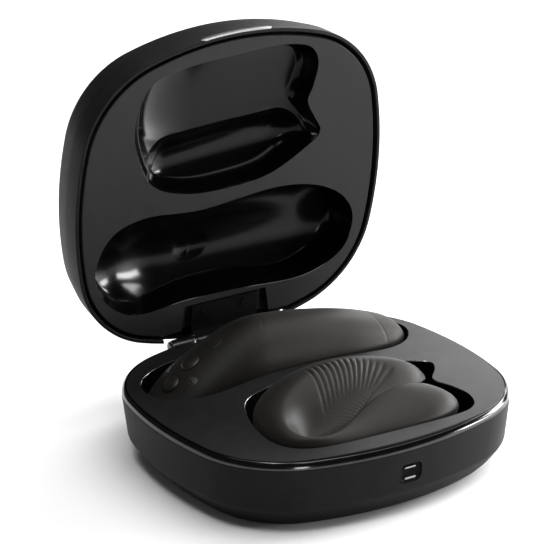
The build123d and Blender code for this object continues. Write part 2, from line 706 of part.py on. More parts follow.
with BuildPart() as u_body:
    loft([u_oval(index) for index in range(len(U_SECTIONS))])
    with BuildSketch(U_BATTERY.offset(-0.2)):
        Circle(6.6)
        with Locations((0, 7.4)):
            Rectangle(10.6, 3.0)
    extrude(amount=33, mode=Mode.SUBTRACT)
    with BuildSketch(U_MOTOR.offset(-0.2)):
        Circle(5.6)
    extrude(amount=21, mode=Mode.SUBTRACT)
    extrude(spine_outline(level(24.8), 1.8), amount=8.4, mode=Mode.SUBTRACT)
    with BuildSketch(level(16)):
        with Locations(*U_PINS):
            Circle(1.6)
    extrude(amount=4.2, mode=Mode.SUBTRACT)
save(u_body.part, "u_body")

with BuildPart() as u_spine:
    extrude(spine_outline(level(25.0), 1.2), amount=8.0)
save(u_spine.part, "u_spine")

with BuildPart() as u_battery:
    with BuildSketch(U_BATTERY):
        Circle(6.4)
    extrude(amount=32)
    chamfer(u_battery.edges(), 0.4)
save(u_battery.part, "u_battery")

with BuildPart() as u_board:
    with BuildSketch(level(39.0)):
        with Locations((2, -14.6)):
            Rectangle(30, 10)
    extrude(amount=1.2)
save(u_board.part, "u_board")

with BuildPart() as u_motor:
    with BuildSketch(U_MOTOR):
        Circle(5.3)
    extrude(amount=11.5)
    with BuildSketch(U_MOTOR.offset(8)):
        Circle(SHAFT + 0.05)
    extrude(amount=5, mode=Mode.SUBTRACT)
save(u_motor.part, "u_motor")

with BuildPart() as u_motor_weight:
    with BuildSketch(U_MOTOR.offset(8.5)):
        Circle(SHAFT)
    extrude(amount=10.5)
    with BuildSketch(U_MOTOR.offset(13.5)):
        with BuildLine():
            CenterArc((0, 0), 4.9, 180, 180)
            Line((4.9, 0), (-4.9, 0))
        make_face()
        Circle(2.0)
    extrude(amount=5)
save(u_motor_weight.part, "u_motor_weight")

with BuildPart() as u_contacts:
    with BuildSketch(level(19.55)):
        with Locations(*U_PINS):
            Circle(1.4)
    extrude(amount=0.6)
save(u_contacts.part, "u_contacts")
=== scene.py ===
import json
import math

import bmesh
import bpy
from mathutils import Matrix, Vector
from mathutils.bvhtree import BVHTree


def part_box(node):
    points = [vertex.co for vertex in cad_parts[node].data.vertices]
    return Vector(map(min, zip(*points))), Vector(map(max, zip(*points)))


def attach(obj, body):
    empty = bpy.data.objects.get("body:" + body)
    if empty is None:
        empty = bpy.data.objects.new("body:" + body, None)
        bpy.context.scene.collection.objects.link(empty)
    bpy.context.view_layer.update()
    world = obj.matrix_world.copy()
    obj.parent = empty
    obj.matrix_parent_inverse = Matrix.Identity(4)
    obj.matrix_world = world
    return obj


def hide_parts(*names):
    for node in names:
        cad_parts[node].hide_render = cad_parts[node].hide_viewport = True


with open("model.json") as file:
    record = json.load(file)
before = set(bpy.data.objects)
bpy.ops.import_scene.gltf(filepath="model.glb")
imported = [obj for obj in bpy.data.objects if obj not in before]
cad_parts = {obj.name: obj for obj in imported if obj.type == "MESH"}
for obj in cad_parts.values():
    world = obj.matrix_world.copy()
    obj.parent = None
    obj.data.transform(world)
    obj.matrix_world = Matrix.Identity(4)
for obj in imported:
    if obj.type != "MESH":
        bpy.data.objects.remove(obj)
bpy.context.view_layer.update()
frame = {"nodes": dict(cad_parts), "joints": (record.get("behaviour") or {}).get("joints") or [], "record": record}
nodes = frame["nodes"]
MM = 0.001

# ---- camera -----------------------------------------------------------------
camera = bpy.data.objects.new("camera", bpy.data.cameras.new("camera"))
bpy.context.scene.collection.objects.link(camera)
camera.data.sensor_width = 36.0
camera.data.lens = 187.41
camera.data.clip_start = 0.05
camera.data.clip_end = 50.0
CAMERA_AT = Vector((-0.575255, -0.907356, 0.499544))
# the camera's right, up and back directions, fitted to the photograph's view
CAMERA_AXES = (Vector((0.849335, -0.527572, -0.017248)),
               Vector((0.205149, 0.299809, 0.931681)),
               Vector((-0.486358, -0.794847, 0.362869)))
camera.matrix_world = Matrix.Translation(CAMERA_AT) @ Matrix(CAMERA_AXES).transposed().to_4x4()
bpy.context.scene.camera = camera


# ---- materials --------------------------------------------------------------
def finish(name, dark, light, rough, metal=0.0, specular=0.5, grain=0.0, grain_size=0.25,
           mottle=6.0, rough_spread=0.05, coat=0.0, coat_rough=0.1, sheen=0.0):
    """A moulded, sprayed or polished surface: cloudy colour, uneven gloss and a fine grain.

    The sizes of the mottle and of the grain are in millimetres.
    """
    mat = bpy.data.materials.new(name)
    mat.use_nodes = True
    tree = mat.node_tree
    shader = tree.nodes["Principled BSDF"]
    shader.inputs["Metallic"].default_value = metal
    shader.inputs["Specular IOR Level"].default_value = specular
    shader.inputs["Coat Weight"].default_value = coat
    shader.inputs["Coat Roughness"].default_value = coat_rough
    shader.inputs["Sheen Weight"].default_value = sheen
    coords = tree.nodes.new("ShaderNodeTexCoord")
    cloud = tree.nodes.new("ShaderNodeTexNoise")
    cloud.inputs["Scale"].default_value = 1.0 / (mottle * MM)
    cloud.inputs["Detail"].default_value = 4.0
    tree.links.new(coords.outputs["Object"], cloud.inputs["Vector"])
    ramp = tree.nodes.new("ShaderNodeValToRGB")
    ramp.color_ramp.elements[0].position = 0.3
    ramp.color_ramp.elements[0].color = (*dark, 1)
    ramp.color_ramp.elements[1].position = 0.7
    ramp.color_ramp.elements[1].color = (*light, 1)
    tree.links.new(cloud.outputs["Fac"], ramp.inputs["Fac"])
    tree.links.new(ramp.outputs["Color"], shader.inputs["Base Color"])
    gloss = tree.nodes.new("ShaderNodeMapRange")
    gloss.inputs["To Min"].default_value = max(rough - rough_spread, 0.02)
    gloss.inputs["To Max"].default_value = min(rough + rough_spread, 1.0)
    tree.links.new(cloud.outputs["Fac"], gloss.inputs["Value"])
    tree.links.new(gloss.outputs["Result"], shader.inputs["Roughness"])
    if grain:
        speck = tree.nodes.new("ShaderNodeTexNoise")
        speck.inputs["Scale"].default_value = 1.0 / (grain_size * MM)
        speck.inputs["Detail"].default_value = 2.0
        tree.links.new(coords.outputs["Object"], speck.inputs["Vector"])
        bump = tree.nodes.new("ShaderNodeBump")
        bump.inputs["Strength"].default_value = grain
        bump.inputs["Distance"].default_value = 0.02 * MM
        tree.links.new(speck.outputs["Fac"], bump.inputs["Height"])
        tree.links.new(bump.outputs["Normal"], shader.inputs["Normal"])
    return mat


def grey(value, warm=0.0):
    """A grey, or with warm above 0 a slightly brown one."""
    return (value * (1 + warm), value, value * (1 - warm))


shell_mat = finish("case_shell", grey(0.0062), grey(0.0088), 0.48, specular=0.075, grain=0.8,
                   grain_size=0.45)
deck_mat = finish("deck_satin", grey(0.0065), grey(0.0085), 0.44, specular=0.165, grain=0.6,
                  grain_size=0.45)
panel_mat = finish("panel_satin", grey(0.0110), grey(0.0135), 0.46, specular=0.14, grain=0.6,
                   grain_size=0.45)
ring_mat = finish("ring_polish", grey(0.045), grey(0.060), 0.13, metal=1.0, rough_spread=0.02)
edge_mat = finish("edge_polish", grey(0.10), grey(0.14), 0.22, metal=1.0, rough_spread=0.02)
thumb_mat = finish("thumb_polish", grey(0.26), grey(0.31), 0.34, metal=1.0, rough_spread=0.03)
well_mat = finish("well_gloss", grey(0.0008), grey(0.0014), 0.16, specular=0.12,
                  rough_spread=0.02, coat=0.02, coat_rough=0.10)
cradle_mat = finish("cradle_black", grey(0.0008), grey(0.0015), 0.55, specular=0.06, grain=0.3)
skin_mat = finish("silicone", grey(0.0070, 0.16), grey(0.0086, 0.16), 0.48, specular=0.15,
                  grain=0.4, grain_size=0.2, sheen=0.03)
tip_mat = finish("silicone_tip", grey(0.0088, 0.16), grey(0.0105, 0.16), 0.54, specular=0.13,
                 grain=0.4, grain_size=0.2, sheen=0.03)
pad_mat = finish("silicone_control", grey(0.0066, 0.12), grey(0.0082, 0.12), 0.52, specular=0.13,
                 grain=0.4, grain_size=0.2, sheen=0.02)
button_mat = finish("button_silicone", grey(0.0085, 0.10), grey(0.0105, 0.10), 0.40, specular=0.30,
                    grain=0.25, grain_size=0.2)
plastic_mat = finish("inner_plastic", grey(0.10), grey(0.13), 0.5, grain=0.3)
steel_mat = finish("steel", grey(0.50), grey(0.58), 0.28, metal=1.0, grain=0.15)
hinge_mat = finish("hinge_black", grey(0.003), grey(0.005), 0.22, specular=0.45, grain=0.15)
port_mat = finish("port_steel", grey(0.26), grey(0.32), 0.30, metal=1.0)
gold_mat = finish("contact_gold", (0.75, 0.52, 0.20), (0.85, 0.62, 0.28), 0.25, metal=1.0)
board_mat = finish("circuit_board", (0.01, 0.07, 0.03), (0.02, 0.11, 0.05), 0.45, grain=0.2)
cell_mat = finish("cell_wrap", (0.03, 0.08, 0.22), (0.05, 0.12, 0.30), 0.35)
magnet_mat = finish("magnet_nickel", grey(0.6), grey(0.7), 0.15, metal=1.0)
rubber_mat = finish("pad_rubber", grey(0.015), grey(0.022), 0.75, specular=0.3, grain=0.6)
weight_mat = finish("weight_metal", grey(0.28), grey(0.36), 0.5, metal=1.0, grain=0.5)
BY_SLOT = {
    "case_shell": shell_mat, "ring_polish": ring_mat, "deck_satin": deck_mat,
    "well_gloss": well_mat, "silicone": skin_mat, "silicone_control": pad_mat,
    "button_silicone": button_mat, "inner_plastic": plastic_mat, "steel": steel_mat,
    "dark_steel": hinge_mat, "port_steel": port_mat, "contact_gold": gold_mat,
    "circuit_board": board_mat, "cell_wrap": cell_mat, "magnet_nickel": magnet_mat,
    "pad_rubber": rubber_mat, "weight_metal": weight_mat,
}
SHARP = 35  # degrees; flatter edges than this are shaded smooth
slot_of = {part["node"]: part["material_slot"] for part in frame["record"]["subparts"]}
for name, obj in nodes.items():
    obj.data.materials.clear()
    obj.data.materials.append(BY_SLOT[slot_of[name]])
    obj.data.set_sharp_from_angle(angle=math.radians(SHARP))
for name in ("hinge_bracket", "bracket_screws", "hinge_leaf", "leaf_screws"):
    nodes[name].data.materials[0] = hinge_mat

# ---- the case's outline and the lid's swing ------------------------------------
joints = {joint["name"]: joint for joint in frame["joints"]}
HINGE = Vector(joints["lid_hinge"]["pos_m"]) / MM
OPEN = math.radians(joints["lid_hinge"]["range_deg"][1])
HALF_WIDTH = (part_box("base_shell")[1].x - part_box("base_shell")[0].x) / 2 / MM
HALF_DEPTH = -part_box("base_shell")[0].y / MM
SIDE_RADIUS, FRONT_RADIUS, CORNER_RADIUS = 160.0, 137.0, 45.3
LONG_ARC, CORNER_ARC = 20, 24  # points along each arc


def case_outline(inset):
    """Points of the case outline moved in by inset: eight tangent arcs."""
    side = Vector((HALF_WIDTH - SIDE_RADIUS, 0))
    rear = Vector((0, HALF_DEPTH - FRONT_RADIUS))
    to_side = SIDE_RADIUS - CORNER_RADIUS
    to_rear = FRONT_RADIUS - CORNER_RADIUS
    span = (rear - side).length
    along = (span ** 2 + to_side ** 2 - to_rear ** 2) / (2 * span)
    away = math.sqrt(to_side ** 2 - along ** 2)
    unit = (rear - side) / span
    corner = side + unit * along + Vector((-unit.y, unit.x)) * away
    first = math.atan2(corner.y, corner.x - side.x)
    second = math.atan2(corner.y - rear.y, corner.x)
    points = []

    def arc(cx, cy, radius, start, sweep, count):
        for step in range(count):
            angle = start + sweep * step / count
            points.append((cx + radius * math.cos(angle), cy + radius * math.sin(angle)))

    sweep, pi = second - first, math.pi
    short, long_side, long_front = CORNER_RADIUS - inset, SIDE_RADIUS - inset, FRONT_RADIUS - inset
    arc(side.x, 0, long_side, -first, 2 * first, LONG_ARC)
    arc(corner.x, corner.y, short, first, sweep, CORNER_ARC)
    arc(0, rear.y, long_front, second, pi - 2 * second, LONG_ARC)
    arc(-corner.x, corner.y, short, pi - second, sweep, CORNER_ARC)
    arc(-side.x, 0, long_side, pi - first, 2 * first, LONG_ARC)
    arc(-corner.x, -corner.y, short, pi + first, sweep, CORNER_ARC)
    arc(0, -rear.y, long_front, pi + second, pi - 2 * second, LONG_ARC)
    arc(corner.x, -corner.y, short, -second, sweep, CORNER_ARC)
    return points


def base_place(x, y, z):
    """From millimetres in the base's frame to metres in the scene."""
    return Vector((x, y, z)) * MM


def lid_place(x, y, z):
    """From the lid's closed place to its open one, about the hinge."""
    dy, dz = y - HINGE.y, z - HINGE.z
    c, s = math.cos(OPEN), math.sin(OPEN)
    return Vector((x, HINGE.y + dy * c + dz * s, HINGE.z - dy * s + dz * c)) * MM


def closed_spline(points, count):
    """Even steps of parameter along a closed smooth curve through the points."""
    total, result = len(points), []
    for step in range(count):
        at = step * total / count
        i, t = int(at), at - int(at)
        p = [Vector(points[(i + k - 1) % total]) for k in range(4)]
        result.append(0.5 * (2 * p[1] + (p[2] - p[0]) * t
                             + (2 * p[0] - 5 * p[1] + 4 * p[2] - p[3]) * t * t
                             + (3 * p[1] - p[0] - 3 * p[2] + p[3]) * t ** 3))
    return result


def grown(points, grow):
    """The points moved away from their middle by grow."""
    middle = sum((Vector(p) for p in points), Vector((0, 0))) / len(points)
    return [middle + (Vector(p) - middle) * (1 + grow / (Vector(p) - middle).length)
            for p in points]


# ---- mesh building ----------------------------------------------------------
def new_object(name, mesh_maker, mat, body, node_names, sharp=SHARP):
    """A visible piece that rides its body and stands in for the CAD nodes it names."""
    mesh = bpy.data.meshes.new(name)
    bm = bmesh.new()
    mesh_maker(bm)
    bmesh.ops.recalc_face_normals(bm, faces=bm.faces)
    bm.to_mesh(mesh)
    bm.free()
    for polygon in mesh.polygons:
        polygon.use_smooth = True
    mesh.set_sharp_from_angle(angle=math.radians(sharp))
    mesh.materials.append(mat)
    obj = bpy.data.objects.new(name, mesh)
    bpy.context.scene.collection.objects.link(obj)
    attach(obj, body)
    if node_names:
        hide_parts(*node_names)
    return obj


def add_rings(bm, rings, cap_first=False, cap_last=False, loop=False):
    """Quads between closed rings of points; loop joins the last ring to the first."""
    made = [[bm.verts.new(p) for p in ring] for ring in rings]
    pairs = list(zip(made, made[1:]))
    if loop:
        pairs.append((made[-1], made[0]))
    for lower, upper in pairs:
        count = len(lower)
        for i in range(count):
            j = (i + 1) % count
            bm.faces.new((lower[i], lower[j], upper[j], upper[i]))
    for wanted, ring in ((cap_first, made[0]), (cap_last, made[-1])):
        if wanted:
            centre = bm.verts.new(sum((v.co for v in ring), Vector()) / len(ring))
            for i in range(len(ring)):
                bm.faces.new((ring[i], ring[(i + 1) % len(ring)], centre))


def profile_rings(profile, place):
    """The case outline at each (inset, height) of a profile."""
    return [[place(x, y, z) for x, y in case_outline(inset)] for inset, z in profile]


CUT_SHARP = 30


def cut(obj, makers):
    """Cuts closed shapes out of a piece."""
    for maker in makers:
        mesh = bpy.data.meshes.new("cutter")
        bm = bmesh.new()
        maker(bm)
        bmesh.ops.recalc_face_normals(bm, faces=bm.faces)
        bm.to_mesh(mesh)
        bm.free()
        cutter = bpy.data.objects.new("cutter", mesh)
        bpy.context.scene.collection.objects.link(cutter)
        modifier = obj.modifiers.new("cut", "BOOLEAN")
        modifier.operation = "DIFFERENCE"
        modifier.solver = "EXACT"
        modifier.object = cutter
        bpy.context.view_layer.update()
        depsgraph = bpy.context.evaluated_depsgraph_get()
        result = bpy.data.meshes.new_from_object(obj.evaluated_get(depsgraph))
        obj.modifiers.clear()
        old = obj.data
        obj.data = result
        bpy.data.meshes.remove(old)
        bpy.data.objects.remove(cutter)
        bpy.data.meshes.remove(mesh)
    for polygon in obj.data.polygons:
        polygon.use_smooth = True
    obj.data.set_sharp_from_angle(angle=math.radians(CUT_SHARP))


def block(low, high, place):
    """A closed box between two corners, in the place's frame."""
    def maker(bm):
        corners = [(low[0], low[1]), (high[0], low[1]), (high[0], high[1]), (low[0], high[1])]
        add_rings(bm, [[place(x, y, z) for x, y in corners] for z in (low[2], high[2])], True, True)
    return maker


def prism(outline, low, high, place):
    """A closed prism over an outline, from low to high in the place's frame."""
    def maker(bm):
        add_rings(bm, [[place(p[0], p[1], z) for p in outline] for z in (low, high)], True, True)
    return maker


def disc(x, y, radius, count=48):
    """Points of a circle."""
    return [(x + radius * math.cos(2 * math.pi * i / count),
             y + radius * math.sin(2 * math.pi * i / count)) for i in range(count)]


# ---- base -------------------------------------------------------------------
# profiles are pairs of inset from the case outline and height
BASE_PROFILE = [
    (2.4, 20.0), (2.4, 28.4), (0.2, 28.4), (0.0, 28.2), (0.0, 27.0), (0.95, 18.0), (1.75, 11.2),
    (2.0, 10.4), (2.5, 9.5), (5.9, 5.0), (6.7, 4.1), (7.6, 3.2), (9.6, 1.2), (10.4, 0.65),
    (11.4, 0.5), (25.8, 0.5), (25.8, 0.9),
]
SCREW_SPOTS = [(54.0, -31.0), (-54.0, -31.0), (56.0, 2.0), (-56.0, 2.0)]
PORT_Z = sum((corner.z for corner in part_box("port_bezel")), 0.0) / 2 / MM
HINGE_ROOM = 31.0  # half the width of the gap at the back for the hinge
PORT_WIDE, PORT_HIGH, PORT_RADIUS = 10.6, 8.5, 2.6
SCREW_HOLE, SCREW_DEEP = 2.6, 1.5


def rounded(width, height, radius, count=10):
    """Points of a rectangle with rounded corners."""
    points = []
    for cx, cy, start in ((1, 1, 0), (-1, 1, 90), (-1, -1, 180), (1, -1, 270)):
        for step in range(count + 1):
            angle = math.radians(start + 90 * step / count)
            points.append((cx * (width / 2 - radius) + radius * math.cos(angle),
                           cy * (height / 2 - radius) + radius * math.sin(angle)))
    return points


def port_place(x, up_by, y):
    """A place on the front wall: across, up from the port's middle, and depth."""
    return Vector((x, y, PORT_Z + up_by)) * MM


shell = new_object(
    "case_base", lambda bm: add_rings(bm, profile_rings(BASE_PROFILE, base_place), True, True),
    shell_mat, "base", ["base_shell"], sharp=30)
cut(shell, [block((-HINGE_ROOM, 62, 25.6), (HINGE_ROOM, 78, 30), base_place),
            prism(rounded(PORT_WIDE, PORT_HIGH, PORT_RADIUS), -74.0, -66.5, port_place)]
    + [prism(disc(x, y, SCREW_HOLE), 0.0, SCREW_DEEP, base_place) for x, y in SCREW_SPOTS])

RING_PROFILE = [
    (2.6, 28.5), (0.05, 28.5), (0.0, 28.6), (0.22, 30.15), (0.30, 30.3), (1.05, 31.35),
    (1.2, 31.45), (1.45, 31.45), (1.5, 31.3), (1.5, 30.2), (2.6, 30.2),
]
ring = new_object(
    "polished_ring", lambda bm: add_rings(bm, profile_rings(RING_PROFILE, base_place), loop=True),
    ring_mat, "base", ["trim_ring"], sharp=20)
cut(ring, [block((-HINGE_ROOM, 62, 27), (HINGE_ROOM, 78, 34), base_place)])

# ---- deck and lid panel -------------------------------------------------------
# the mouths of the four wells, those of the lid in its closed place
SLIM_MOUTH = [
    (-63.4, 29.0), (-58.0, 15.5), (-42.0, 9.0), (-12.0, 12.6), (15.0, 12.0),
    (42.0, 9.0), (57.0, 16.0), (64.3, 30.0), (58.0, 45.0), (42.0, 51.5),
    (0.0, 50.0), (-38.0, 51.2), (-57.0, 43.0),
]
U_MOUTH = [
    (-46.8, -39.0), (-42.0, -51.0), (-28.0, -57.5), (0.0, -60.0), (28.0, -59.8),
    (40.0, -56.0), (44.5, -47.0), (43.0, -37.5), (39.8, -28.0), (46.5, -19.5),
    (49.3, -13.0), (44.0, -8.0), (24.0, -2.0), (2.0, 3.0), (-20.0, 1.5),
    (-36.0, -5.0), (-44.0, -20.5),
]
SLIM_LID_MOUTH = [
    (-64.7, 26.0), (-57.0, 11.5), (-40.0, 6.6), (-12.0, 9.0), (24.0, 6.0),
    (45.0, 9.0), (58.6, 17.2), (63.2, 28.8), (57.6, 42.6), (38.0, 51.0),
    (5.0, 50.0), (-18.0, 49.6), (-45.0, 50.4), (-59.5, 41.0),
]
U_LID_MOUTH = [
    (-47.0, -36.0), (-40.5, -53.5), (-24.0, -58.7), (0.0, -60.3), (22.0, -61.0),
    (36.0, -58.0), (41.0, -50.0), (40.0, -41.0), (37.5, -32.0), (41.0, -24.5),
    (44.6, -17.0), (39.0, -11.2), (20.8, -1.4), (0.0, 1.2), (-20.0, -0.2),
    (-36.5, -7.0), (-44.0, -20.5),
]
MOUTH_STEPS = 240
# heights of the two domed faces at the case's edge, and how far they rise to the middle
DECK_EDGE, PANEL_EDGE = 32.0, 32.5
CROWN, CROWN_SPAN = 3.2, 73.0
SPHERE = (CROWN_SPAN ** 2 + CROWN ** 2) / (2 * CROWN)


def crown(x, y, edge):
    """Height of a surface that rises from edge to a crown in the middle."""
    return edge + CROWN - SPHERE + math.sqrt(SPHERE ** 2 - x * x - y * y)


def domed_plate(edge, bottom, steps, place):
    """A plate whose face is domed and whose other side is flat; steps are (inset, drop)."""
    def maker(bm):
        rings = []
        for inset, drop in steps:
            rings.append([place(x, y, crown(x, y, edge) - drop)
                          for x, y in case_outline(inset)])
        last = case_outline(steps[-1][0])
        for share in (0.8, 0.6, 0.4, 0.2, 0.04):
            rings.append([place(x * share, y * share, crown(x * share, y * share, edge))
                          for x, y in last])
        first = case_outline(steps[0][0])
        rings.insert(0, [place(x, y, bottom) for x, y in first])
        add_rings(bm, rings, True, True)
    return maker


DECK_STEPS = [(2.0, 0.25), (2.2, 0.0), (5.0, 0.0), (10.0, 0.0), (16.0, 0.0), (24.0, 0.0),
              (32.0, 0.0), (40.0, 0.0), (45.0, 0.0)]
slim_mouth = closed_spline(SLIM_MOUTH, MOUTH_STEPS)
u_mouth = closed_spline(U_MOUTH, MOUTH_STEPS)
slim_lid_mouth = closed_spline(SLIM_LID_MOUTH, MOUTH_STEPS)
u_lid_mouth = closed_spline(U_LID_MOUTH, MOUTH_STEPS)
EDGE_CUT, LID_EDGE_CUT = 0.32, 0.15  # how wide the polished chamfers round the mouths are

deck = new_object("deck_plate", domed_plate(DECK_EDGE, 30.0, DECK_STEPS, base_place),
                  deck_mat, "base", ["deck"], sharp=30)
cut(deck, [prism(grown(slim_mouth, EDGE_CUT), 25, 40, base_place),
           prism(grown(u_mouth, EDGE_CUT), 25, 40, base_place),
           block((-HINGE_ROOM, 63.4, 28), (HINGE_ROOM, 80, 40), base_place)])

PANEL_STEPS = [(3.4, -0.3), (3.7, 0.0), (8.0, 0.0), (14.0, 0.0), (22.0, 0.0), (30.0, 0.0),
               (38.0, 0.0), (45.0, 0.0)]
panel = new_object("lid_inner_panel", domed_plate(PANEL_EDGE, 37.4, PANEL_STEPS, lid_place),
                   panel_mat, "lid", ["lid_panel"], sharp=30)
LEAF_RECESS = [(-22.0, 64.0), (-20.4, 52.6), (20.4, 52.6), (22.0, 64.0)]
cut(panel, [prism(grown(slim_lid_mouth, LID_EDGE_CUT), 30, 42, lid_place),
            prism(grown(u_lid_mouth, LID_EDGE_CUT), 30, 42, lid_place),
            block((-HINGE_ROOM, 63.7, 28), (HINGE_ROOM, 80, 42), lid_place),
            prism(LEAF_RECESS, 30, 35.4, lid_place)])


def edge_strip(mouth, edge, place, out, sink):
    """The narrow polished chamfer round a well's mouth; sink is below 0 in the lid."""
    def maker(bm):
        rings = []
        for grow, drop in ((out, 0.0), (0.0, sink), (0.0, sink * 3), (out, sink * 3)):
            rings.append([place(p.x, p.y, crown(p.x, p.y, edge) - drop)
                          for p in grown(mouth, grow)])
        add_rings(bm, rings, loop=True)
    return maker


new_object("slim_mouth_edge", edge_strip(slim_mouth, DECK_EDGE, base_place, EDGE_CUT, 0.3),
           edge_mat, "base", [], sharp=25)
new_object("u_mouth_edge", edge_strip(u_mouth, DECK_EDGE, base_place, EDGE_CUT, 0.3),
           edge_mat, "base", [], sharp=25)
new_object("slim_lid_edge",
           edge_strip(slim_lid_mouth, PANEL_EDGE, lid_place, LID_EDGE_CUT, -0.15),
           ring_mat, "lid", [], sharp=25)
new_object("u_lid_edge",
           edge_strip(u_lid_mouth, PANEL_EDGE, lid_place, LID_EDGE_CUT, -0.15),
           ring_mat, "lid", [], sharp=25)


# ---- wells in the base ----------------------------------------------------------
BOWL_EDGE, BOWL_STEPS = 31.6, 22  # the mouth starts a little under the deck's face


def bowl(mouth, bottom, tighten):
    """A smooth bowl from a well's mouth to its flat floor, tighten inside the mouth."""
    def maker(bm):
        rings = []
        for step in range(BOWL_STEPS + 1):
            angle = 0.5 * math.pi * step / BOWL_STEPS
            deep = math.sin(angle) ** 0.8
            inward = (1 - math.cos(angle)) * tighten
            ring_points = []
            for p in grown(mouth, -inward):
                start = crown(p.x, p.y, BOWL_EDGE)
                ring_points.append(base_place(p.x, p.y, start + (bottom - start) * deep))
            rings.append(ring_points)
        middle = sum(mouth, Vector((0, 0))) / len(mouth)
        for share in (0.8, 0.55, 0.3, 0.1):
            rings.append([base_place(middle.x + (p.x - middle.x) * share,
                                     middle.y + (p.y - middle.y) * share, bottom)
                          for p in grown(mouth, -tighten)])
        add_rings(bm, rings, False, True)
    return maker


new_object("slim_base_bowl", bowl(slim_mouth, 15.3, 9.0), cradle_mat,
           "base", ["slim_cradle"], sharp=60)
new_object("u_base_bowl", bowl(u_mouth, 19.2, 7.5), cradle_mat,
           "base", ["u_cradle"], sharp=60)

# ---- lid --------------------------------------------------------------------
LID_PROFILE = [
    (44.0, 60.1), (36.0, 59.6), (24.0, 58.7), (14.0, 57.6), (9.0, 56.9), (6.6, 56.2), (5.2, 55.7),
    (4.2, 54.8), (3.6, 53.2), (1.2, 43.6), (0.9, 42.0), (0.1, 32.9), (0.15, 32.3), (0.4, 32.1),
    (1.5, 32.1), (1.65, 32.3), (2.0, 36.0), (3.2, 43.4), (6.7, 53.8), (9.9, 54.8),
    (24.0, 56.4), (44.5, 58.2),
]
lid = new_object(
    "case_lid", lambda bm: add_rings(bm, profile_rings(LID_PROFILE, lid_place), True, True),
    shell_mat, "lid", ["lid_shell"], sharp=30)
cut(lid, [block((-HINGE_ROOM, 62, 28), (HINGE_ROOM, 78, 36.1), lid_place)])
THUMB_HALF, THUMB_LOW, THUMB_HIGH, THUMB_ROUND, THUMB_STEPS = 17.0, 32.25, 35.4, 1.1, 24


def thumb_maker(bm):
    """A polished strip set in the front rim, rounded at both ends."""
    rings = []
    for step in range(THUMB_STEPS + 1):
        x = THUMB_HALF * (2 * step / THUMB_STEPS - 1)
        past = max(abs(x) - (THUMB_HALF - THUMB_ROUND), 0)
        end = math.sqrt(max(1 - past ** 2 / THUMB_ROUND ** 2, 0.02))
        middle, tall = (THUMB_LOW + THUMB_HIGH) / 2, (THUMB_HIGH - THUMB_LOW) / 2 * end
        face = HALF_DEPTH - FRONT_RADIUS + math.sqrt(FRONT_RADIUS ** 2 - x * x)
        rings.append([lid_place(x, -(face + out), middle + tall * share)
                      for out, share in ((-0.9, -1.0), (0.02, -1.0), (0.14, -0.8), (0.04, 0.8),
                                         (-0.1, 1.0), (-0.9, 1.0))])
    add_rings(bm, rings, True, True)


new_object("thumb_strip", thumb_maker, thumb_mat, "lid", ["thumb_plate"], sharp=40)

# ---- slim unit ---------------------------------------------------------------
SLIM_Y = 31.0
# x, top, underside and half width of each oval section
SLIM_SECTIONS = [
    (-60.0, 25.5, 22.5, 6.0), (-54.0, 30.0, 19.5, 12.5), (-44.0, 38.0, 17.0, 16.5),
    (-30.0, 46.0, 16.0, 17.5), (-17.0, 51.5, 15.5, 17.5), (-5.0, 52.5, 15.5, 17.0),
    (15.0, 50.0, 16.0, 17.0), (35.0, 45.7, 16.5, 17.0), (50.0, 40.9, 19.5, 15.0),
    (58.0, 37.0, 23.5, 10.5), (63.0, 31.5, 27.5, 4.0),
]


def open_spline(rows, count):
    """Smooth steps through rows of numbers, from the first row to the last."""
    last, result = len(rows) - 1, []
    for step in range(count + 1):
        at = step * last / count
        i = min(int(at), last - 1)
        t = at - i
        p = [rows[max(i - 1, 0)], rows[i], rows[i + 1], rows[min(i + 2, last)]]
        result.append(tuple(
            0.5 * (2 * b + (c - a) * t + (2 * a - 5 * b + 4 * c - d) * t * t
                   + (3 * b - a - 3 * c + d) * t ** 3)
            for a, b, c, d in zip(*p)))
    return result


# a point on each seam, and the direction across it
SEAM_SPOT, SEAM_TURN = Vector((-18, SLIM_Y, 44)) * MM, Vector((1, 0, -1.14)).normalized()
TIP_SPOT, TIP_TURN = Vector((47, SLIM_Y, 28)) * MM, Vector((1, 0, 0))
SLIM_STEPS, SLIM_AROUND = 220, 112
SEAM_DEEP, SEAM_WIDTH = 0.16, 0.28


def slim_form(bm):
    """The whole slim unit, with a shallow groove along each seam."""
    rings = []
    for x, top, bottom, half in open_spline(SLIM_SECTIONS, SLIM_STEPS):
        middle, tall = (top + bottom) / 2, (top - bottom) / 2
        ring_points = []
        for i in range(SLIM_AROUND):
            angle = 2 * math.pi * i / SLIM_AROUND
            point = Vector((x, SLIM_Y + half * math.cos(angle),
                            middle + tall * math.sin(angle))) * MM
            for spot, direction in ((SEAM_SPOT, SEAM_TURN), (TIP_SPOT, TIP_TURN)):
                gap = (point - spot).dot(direction) / MM
                sink = SEAM_DEEP * math.exp(-(gap / SEAM_WIDTH) ** 2)
                centre = Vector((x, SLIM_Y, middle)) * MM
                point = point + (centre - point).normalized() * sink * MM
            ring_points.append(point)
        rings.append(ring_points)
    add_rings(bm, rings, True, True)


def slim_piece(cuts):
    """The slim unit's form, cut at its seams; each cut keeps what lies behind it."""
    def maker(bm):
        slim_form(bm)
        for spot, direction in cuts:
            found = bmesh.ops.bisect_plane(
                bm, geom=bm.verts[:] + bm.edges[:] + bm.faces[:], dist=1e-7, plane_co=spot,
                plane_no=direction, clear_outer=True)
            edges = [e for e in found["geom_cut"] if isinstance(e, bmesh.types.BMEdge)]
            bmesh.ops.holes_fill(bm, edges=edges, sides=0)
    return maker


